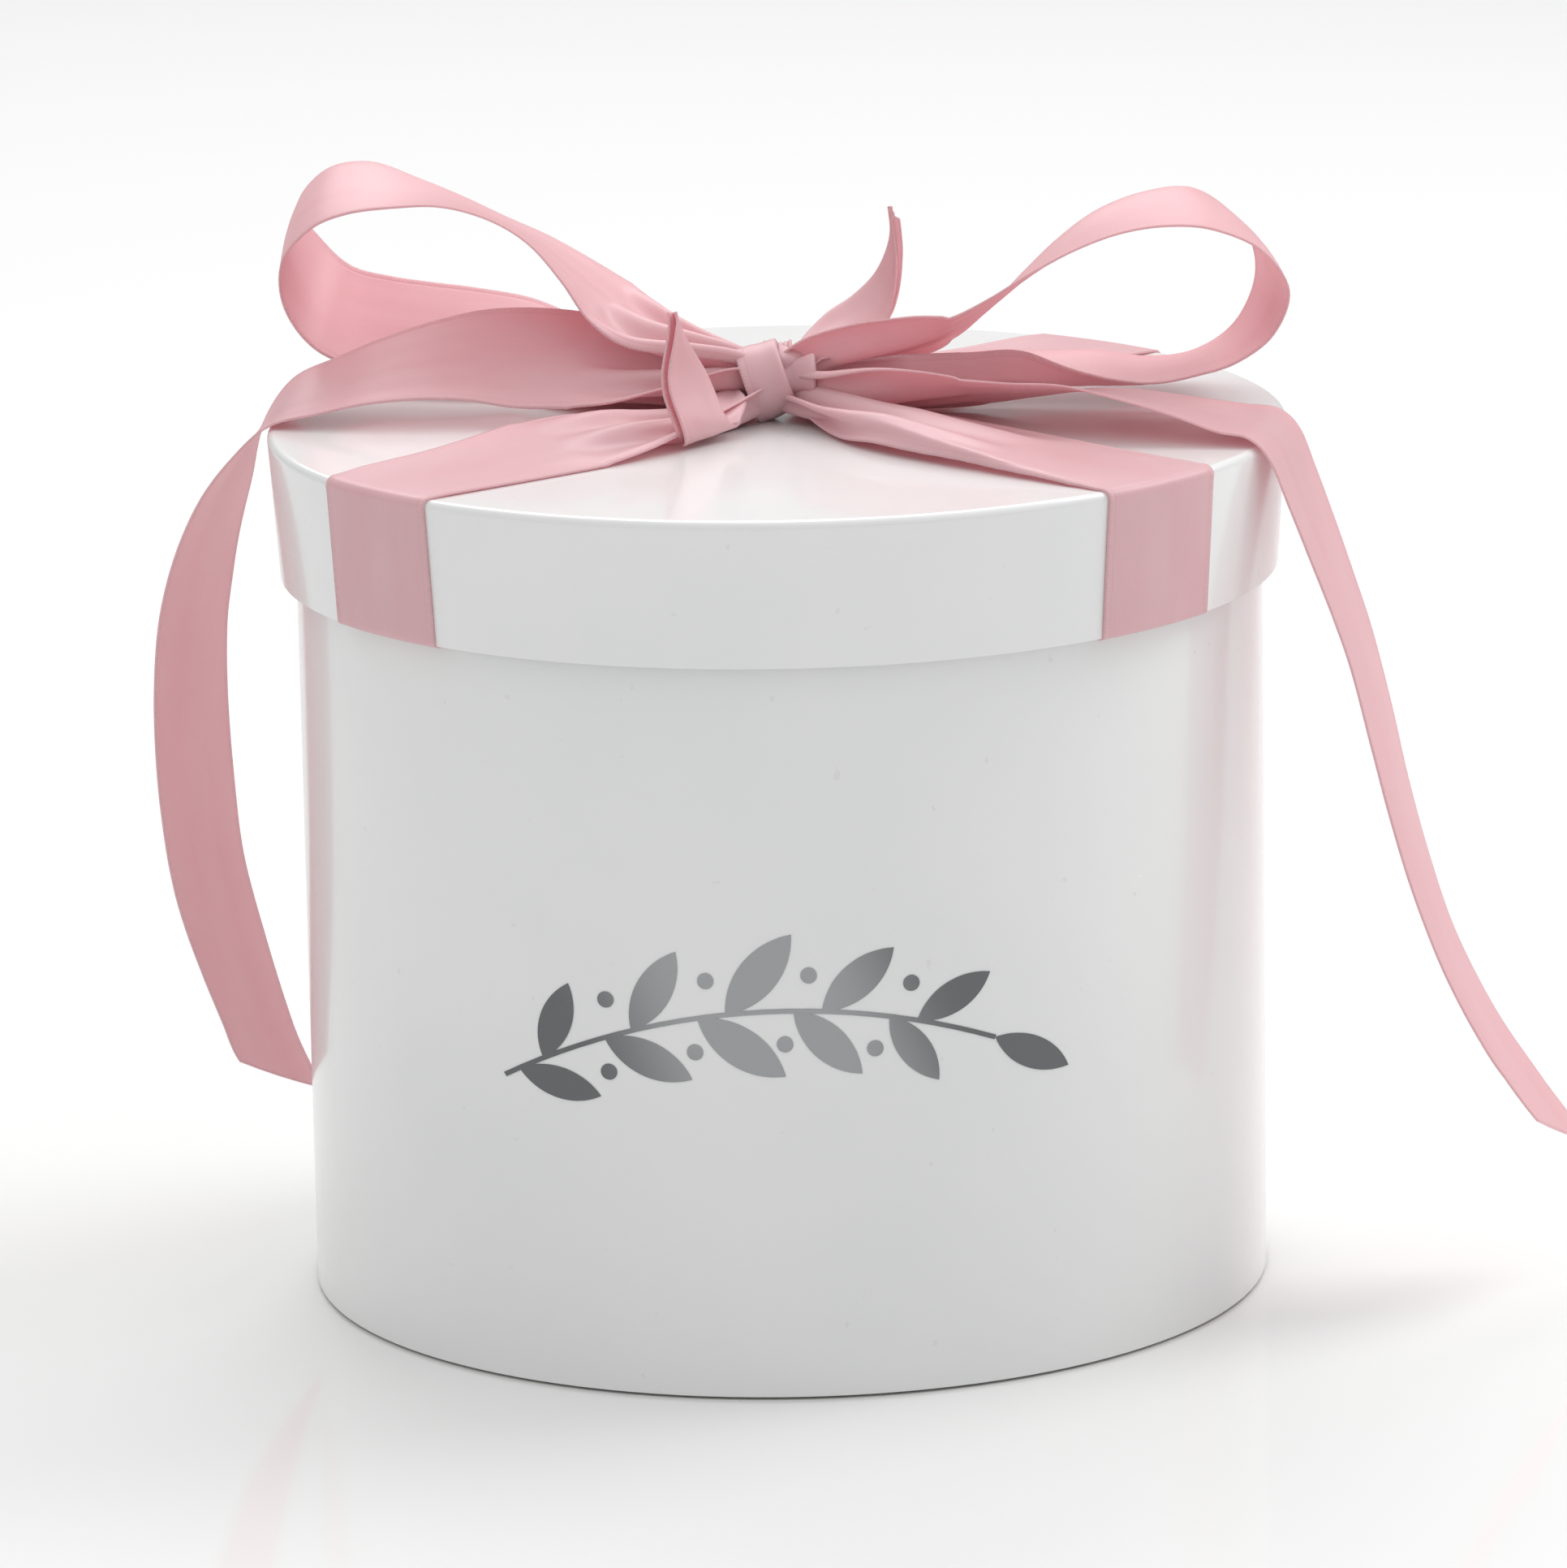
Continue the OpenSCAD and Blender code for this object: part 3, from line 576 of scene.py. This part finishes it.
tailRight = {
    "route": [
        (2.5, -0.8, 5.5, 90, -6, 0.26), (7.7, -3, 4.8, 80, -15, 0.4), (15, -4.5, 4.6, 80, -24, 0.66),
        (23.5, -6, 4.8, 78, -22, 0.9), (32, -7.5, 5, 77, -19, 1), (40, -9.5, 5.5, 75, -15, 1),
        (48.5, -11.5, 6, 75, -12, 1), (56.5, -14, 5.2, 76, -8, 1), (65, -16, 3.6, 76, -5, 1),
        (72.5, -18.5, 2.1, 76, -1, 1), (77.5, -20, 1.5, 76, 0, 1), (80.8, -20.8, -1.6, 76, 1, 1),
        (83.6, -21, -8.5, 77, 3, 1), (87, -21, -17.5, 78, 4, 1), (90.3, -21, -26.5, 79, 4, 1),
        (93.3, -21, -35.5, 79, 3, 1), (96.5, -20.5, -48, 79, 3, 1), (99.5, -20.5, -60.5, 80, 3, 1),
        (103, -20.5, -73, 81, 3, 1), (107.5, -20.5, -86, 83, 4, 1), (113.5, -20, -98.5, 84, 4, 1),
        (119.5, -20, -108, 85, 4, 1), (125.5, -20, -116.5, 86, 4, 1),
    ],
    "front": -1,
    "pleats": 2.4, "phase": [(0, 0.2), (0.3, 0.35), (1, 0.5)], "cut": 7.5,
    "cup": [(0, 0), (0.3, 10), (0.5, 3), (0.8, -8), (1, 6)],
    "ripple": [(0, 14), (0.12, 7), (0.26, 1), (1, 0.5)],
}
endFront = {
    "route": [
        (-6.4, -2.5, 5.2, -80, 0, 0.3), (-7.8, -7, 4.6, -38, 2, 0.3), (-9, -12.5, 3.8, 0, 4, 0.32),
        (-10, -17.6, 2.9, 28, 4, 0.4), (-10.8, -21.4, 2, 44, 2, 0.5), (-12, -22.8, 4.2, 50, -3, 0.5),
        (-13.6, -21.2, 8.2, 50, -7, 0.5), (-14.6, -19.8, 12.1, 52, -8, 0.42),
        (-15.5, -19.8, 17, 60, -10, 0.22), (-16.2, -20, 21.4, 70, -10, 0.04),
    ],
    "layers": 2, "pointed": 0.7, "pleats": 2, "phase": [(0, 0.3)],
    "ripple": [(0, 8), (0.4, 2), (1, 4)],
}
endBack = {
    "route": [
        (2.5, 1, 8, 100, 0, 0.26), (6.2, 4.2, 10.6, 115, 6, 0.34), (9.8, 8, 12.6, 108, 22, 0.4),
        (13.8, 10, 14.4, 104, 30, 0.42), (17.2, 12, 17.2, 100, 42, 0.4), (19, 12.6, 21, 105, 52, 0.3),
        (19.8, 13, 26, 112, 60, 0.16), (19.4, 13, 31, 112, 60, 0.03),
    ],
    "layers": 2, "pointed": 0.6, "pleats": 2, "phase": [(0, 0.8)],
    "ripple": [(0, 10), (0.4, 3), (1, 5)],
    "cup": [(0, 0), (1, 24)],
}

freeRibbon("bow_loop_left_satin", loopLeft, ["bow_loop_left"])
freeRibbon("bow_loop_right_satin", loopRight, ["bow_loop_right"])
freeRibbon("bow_tail_left_satin", tailLeft, ["bow_tail_left"])
freeRibbon("bow_tail_right_satin", tailRight, ["bow_tail_right"])
freeRibbon("tie_end_front_satin", endFront, ["tie_end_front"])
freeRibbon("tie_end_back_satin", endBack, ["tie_end_back"])
print("bow made")


def knotTurn(name, spec, replaced):
    # a folded length of ribbon wound once round the strands
    first, last = (math.radians(a) for a in spec["sweep"])
    count = spec["rows"]
    lean = Matrix.Rotation(math.radians(-spec["tilt"]), 3, "Y")
    centre = Vector(spec["centre"]) * mm + Vector((0, 0, lidTop))
    rows = []
    for i in range(count + 1):
        u = i / count
        angle = first + (last - first) * u
        shape = dict(spec["shape"], phase=spec["shape"].get("phase", 0) + spec["drift"] * u)
        section = crossSection(spec["share"], shape)
        top = max(b for a, b in section)
        squeeze = 1 - spec["dent"] * math.cos(2 * angle + 0.6) * 0.5
        row = []
        for a, b in section:
            out = Vector((0, -math.sin(angle) * (spec["depth"] * mm + b - top),
                          math.cos(angle) * (spec["height"] * mm + b - top)))
            row.append(centre + lean @ (out * squeeze + Vector((a, 0, 0))))
        rows.append(row)
    return ribbonMesh(name, rows, replaced)


frontTurn = {
    "centre": (-1.4, -0.4, 6.4), "depth": 7, "height": 6.3, "tilt": 19,
    "sweep": (-178, 178), "rows": 72,
    "share": 1, "shape": {"folds": [(0.2, 176), (0.46, -176), (0.72, 176)], "ripple": 5, "phase": 0.1},
    "drift": 0.2, "dent": 0.04,
}
backTurn = {
    "centre": (3.6, 0.1, 6.8), "depth": 6.6, "height": 5.7, "tilt": 6,
    "sweep": (-178, 178), "rows": 72,
    "share": 0.9, "shape": {"folds": [(0.27, 178), (0.52, -176), (0.74, 170)], "ripple": 12, "pleats": 2,
                            "phase": 0.1},
    "drift": 0.9, "dent": 0.08,
}
knotNub = {
    "centre": (0.7, 0.5, 6.8), "depth": 4.6, "height": 5.9, "tilt": 4,
    "sweep": (-150, 150), "rows": 60,
    "share": 0.1, "shape": {"pleats": 5, "phase": 0.4, "ripple": 4},
    "drift": 0.1, "dent": 0.0,
}
knotFill = {
    "route": [(-6.2, 0.2, 6.2, 90, 0, 0.26), (0, 0, 6.4, 90, 0, 0.24), (6.2, 0.4, 6.6, 90, 0, 0.26)],
    "pleats": 4, "phase": [(0, 0.1), (1, 0.5)], "ripple": [(0, 15), (1, 15)],
}
knotTurn("knot_front_turn_satin", frontTurn, ["knot_front_turn"])
knotTurn("knot_back_turn_satin", backTurn, ["knot_back_turn"])
knotTurn("knot_middle_turn_satin", knotNub, [])
freeRibbon("knot_core_satin", knotFill, ["knot_core"])
print("knot made")


strap = {
    "tuck": 12 * mm,           # turned up inside the lid
    "clear": 0.05 * mm,        # air over the paper
    "bandTop": 1.2 * mm,       # radius of the lid's soft upper edge
    "mouthIn": 79.0 * mm,      # radius inside the lid's lower edge
    "mouthOut": 80.9 * mm,     # and outside it
    "flare": 1.6 * mm,         # how much wider the lid is at its top
    "tuckRows": 8,
    "turnRows": 8,             # round the lower edge
    "sideRows": 24,
    "bendRows": 6,             # over the upper edge
    "flat": 0.35,              # height of the turn under the lower edge, against half its width
}


def strapPath(route):
    # (distance, height, lean, share, bend round the lid) from the tucked end to the knot,
    # and the number of rows before the top of the lid
    off = ribbon["thickness"] / 2 + strap["clear"]
    height = lidTop - mouth
    slope = strap["flare"] / height
    inner, outer = strap["mouthIn"] - off, strap["mouthOut"] + off
    places = []
    for k in range(strap["tuckRows"]):
        up = strap["tuck"] * (1 - k / strap["tuckRows"])
        places.append((inner + slope * up, mouth + up))
    reach = (outer - inner) / 2
    for k in range(strap["turnRows"] + 1):
        a = math.pi * (1 + k / strap["turnRows"])
        drop = min(0.0, reach * math.sin(a) * strap["flat"])
        places.append((inner + reach + reach * math.cos(a), mouth + off + drop))
    rim = strap["bandTop"]
    for k in range(1, strap["sideRows"]):
        up = (height - rim) * k / strap["sideRows"]
        places.append((outer + slope * up, mouth + up))
    centre = strap["mouthOut"] + strap["flare"] - rim
    for k in range(strap["bendRows"] + 1):
        a = math.pi / 2 * k / strap["bendRows"]
        places.append((centre + (rim + off) * math.cos(a), lidTop - rim + (rim + off) * math.sin(a)))
    path = [(d, z, 0, 1, 1) for d, z in places]
    start = (centre / mm / planScale, off / mm, 0, 1)
    for s in splineRows([start] + list(route), ribbon["steps"])[1:]:
        d = s[0] * mm * planScale
        path.append((d, lidTop + s[1] * mm, s[2], s[3], between(route[0][0] * mm, centre, d)))
    return path, len(places)


def strapPoint(heading, d, z, v, lean, bend):
    arc = v / max(d, 5 * mm)
    flat = Vector((d, v * math.cos(lean), z + v * math.sin(lean)))
    bent = Vector((d * math.cos(arc), d * math.sin(arc), z))
    return Matrix.Rotation(heading, 3, "Z") @ flat.lerp(bent, bend)


def lidStrap(name, node, spec, heading, side):
    # heading is the way from the knot, and side the hand that the strap's width goes to
    path, first = strapPath(spec["route"])
    rows = []
    for i, (d, z, lean, share, bend) in enumerate(path):
        u = max(0.0, (i - first) / (len(path) - 1 - first))
        row = []
        for a, b in crossSection(share, shapeAt(spec, u)):
            point = strapPoint(math.radians(heading), d, z, a * side,
                               math.radians(lean * side), bend)
            row.append(point + Vector((0, 0, b * (1 - bend))))
        rows.append(row)
    return ribbonMesh(name, rows, [node])


# a station is the distance from the middle and the height above the lid in mm, the lean in
# degrees, and the share of the width
strapFrontLeft = {
    "route": [(74, 0.6, 1, 1), (60, 1, 3, 1), (45, 1.9, 7, 1), (32, 2.7, 9, 0.92), (22, 2, 5, 0.7),
              (14, 2, 0, 0.5), (9, 2.8, 0, 0.38), (3, 4, 0, 0.28)],
    "pleats": 2.6, "phase": [(0, 0.2), (1, 0.5)], "ripple": [(0, 0), (0.5, 2), (1, 12)],
}
strapFrontRight = {
    "route": [(74, 0.6, -1, 1), (60, 1.4, -3, 0.96), (45, 2.8, -6, 0.88), (32, 3.6, -8, 0.8),
              (22, 3.4, -5, 0.68), (14, 3.4, 0, 0.5), (9, 3.8, 0, 0.38), (3, 4.4, 0, 0.28)],
    "pleats": 2.6, "phase": [(0, 0.7), (1, 0.9)],
    "fold": [(0, 0), (0.12, 0.02), (0.5, 0.14), (0.75, 0.19), (1, 0.19)],
    "foldAngle": [(0, 50), (0.4, 80), (1, 85)], "ripple": [(0, 0), (0.6, 1), (1, 10)],
}
strapBack = {
    "route": [(74, 0.6, 0, 1), (60, 0.9, 0, 1), (45, 1.2, 2, 1), (32, 1.6, 3, 0.92), (22, 1.8, 2, 0.7),
              (14, 2, 0, 0.5), (9, 2.8, 0, 0.38), (3, 4, 0, 0.28)],
    "pleats": 2.6, "phase": [(0, 0.45), (1, 0.8)], "ripple": [(0, 0), (0.5, 2), (1, 12)],
}
lidStrap("strap_front_left_satin", "strap_front_left", strapFrontLeft, -140.5, -1)
lidStrap("strap_front_right_satin", "strap_front_right", strapFrontRight, -43, 1)
lidStrap("strap_back_left_satin", "strap_back_left", strapBack, 137, -1)
lidStrap("strap_back_right_satin", "strap_back_right", strapBack, 47.5, 1)
print("straps made")

bpy.context.view_layer.update()


floor = {
    "colour": (0.93, 0.935, 0.93, 1),
    "roughness": 0.06,
    "reach": 6,
    "drop": 0.2 * mm,          # below the base, so that the two don't touch
}


def makeFloor(f):
    bm = bmesh.new()
    bmesh.ops.create_grid(bm, x_segments=1, y_segments=1, size=f["reach"])
    bmesh.ops.translate(bm, vec=(0, 0, -f["drop"]), verts=bm.verts)
    mesh = bpy.data.meshes.new("floor")
    bm.to_mesh(mesh)
    bm.free()
    obj = bpy.data.objects.new("floor", mesh)
    bpy.context.scene.collection.objects.link(obj)
    g = newMaterial("floor_white")
    mesh.materials.append(g.finish({"Base Color": f["colour"], "Roughness": f["roughness"],
                                    "Specular IOR Level": 0.6}))


studio = {
    "zenith": 1.25,
    "horizon": 0.52,
    "fullAt": 0.9,             # how high the sky reaches its full strength
    "aim": (0, 0, 0.1),
    "lamps": [                 # name, place, width across, power
        ("key_right", (1.1, 0.5, 1.2), 0.9, 9.0),
        ("back_top", (-0.2, 1.3, 1.3), 1.4, 10.8),
    ],
}


def makeLight(s):
    bpy.context.scene.world = bpy.data.worlds.new("studio")
    g = Graph(bpy.context.scene.world)
    across, depth, height = g.split(g.wire(g.node("ShaderNodeTexCoord"), "Generated"))
    sky = g.node("ShaderNodeMapRange", {"interpolation_type": "SMOOTHSTEP"},
                 {"Value": height, "From Min": 0.0, "From Max": s["fullAt"],
                  "To Min": s["horizon"], "To Max": s["zenith"]})
    shine = g.node("ShaderNodeBackground", {}, {"Strength": g.wire(sky, "Result")})
    g.node("ShaderNodeOutputWorld", {}, {"Surface": g.wire(shine, 0)})
    for name, place, size, power in s["lamps"]:
        data = bpy.data.lights.new(name, "AREA")
        data.shape = "DISK"
        data.size = size
        data.energy = power
        lamp = bpy.data.objects.new(name, data)
        bpy.context.scene.collection.objects.link(lamp)
        aim = (Vector(s["aim"]) - Vector(place)).to_track_quat("-Z", "Y")
        lamp.matrix_world = Matrix.Translation(place) @ aim.to_matrix().to_4x4()


makeFloor(floor)
makeLight(studio)
print("floor and light ready")
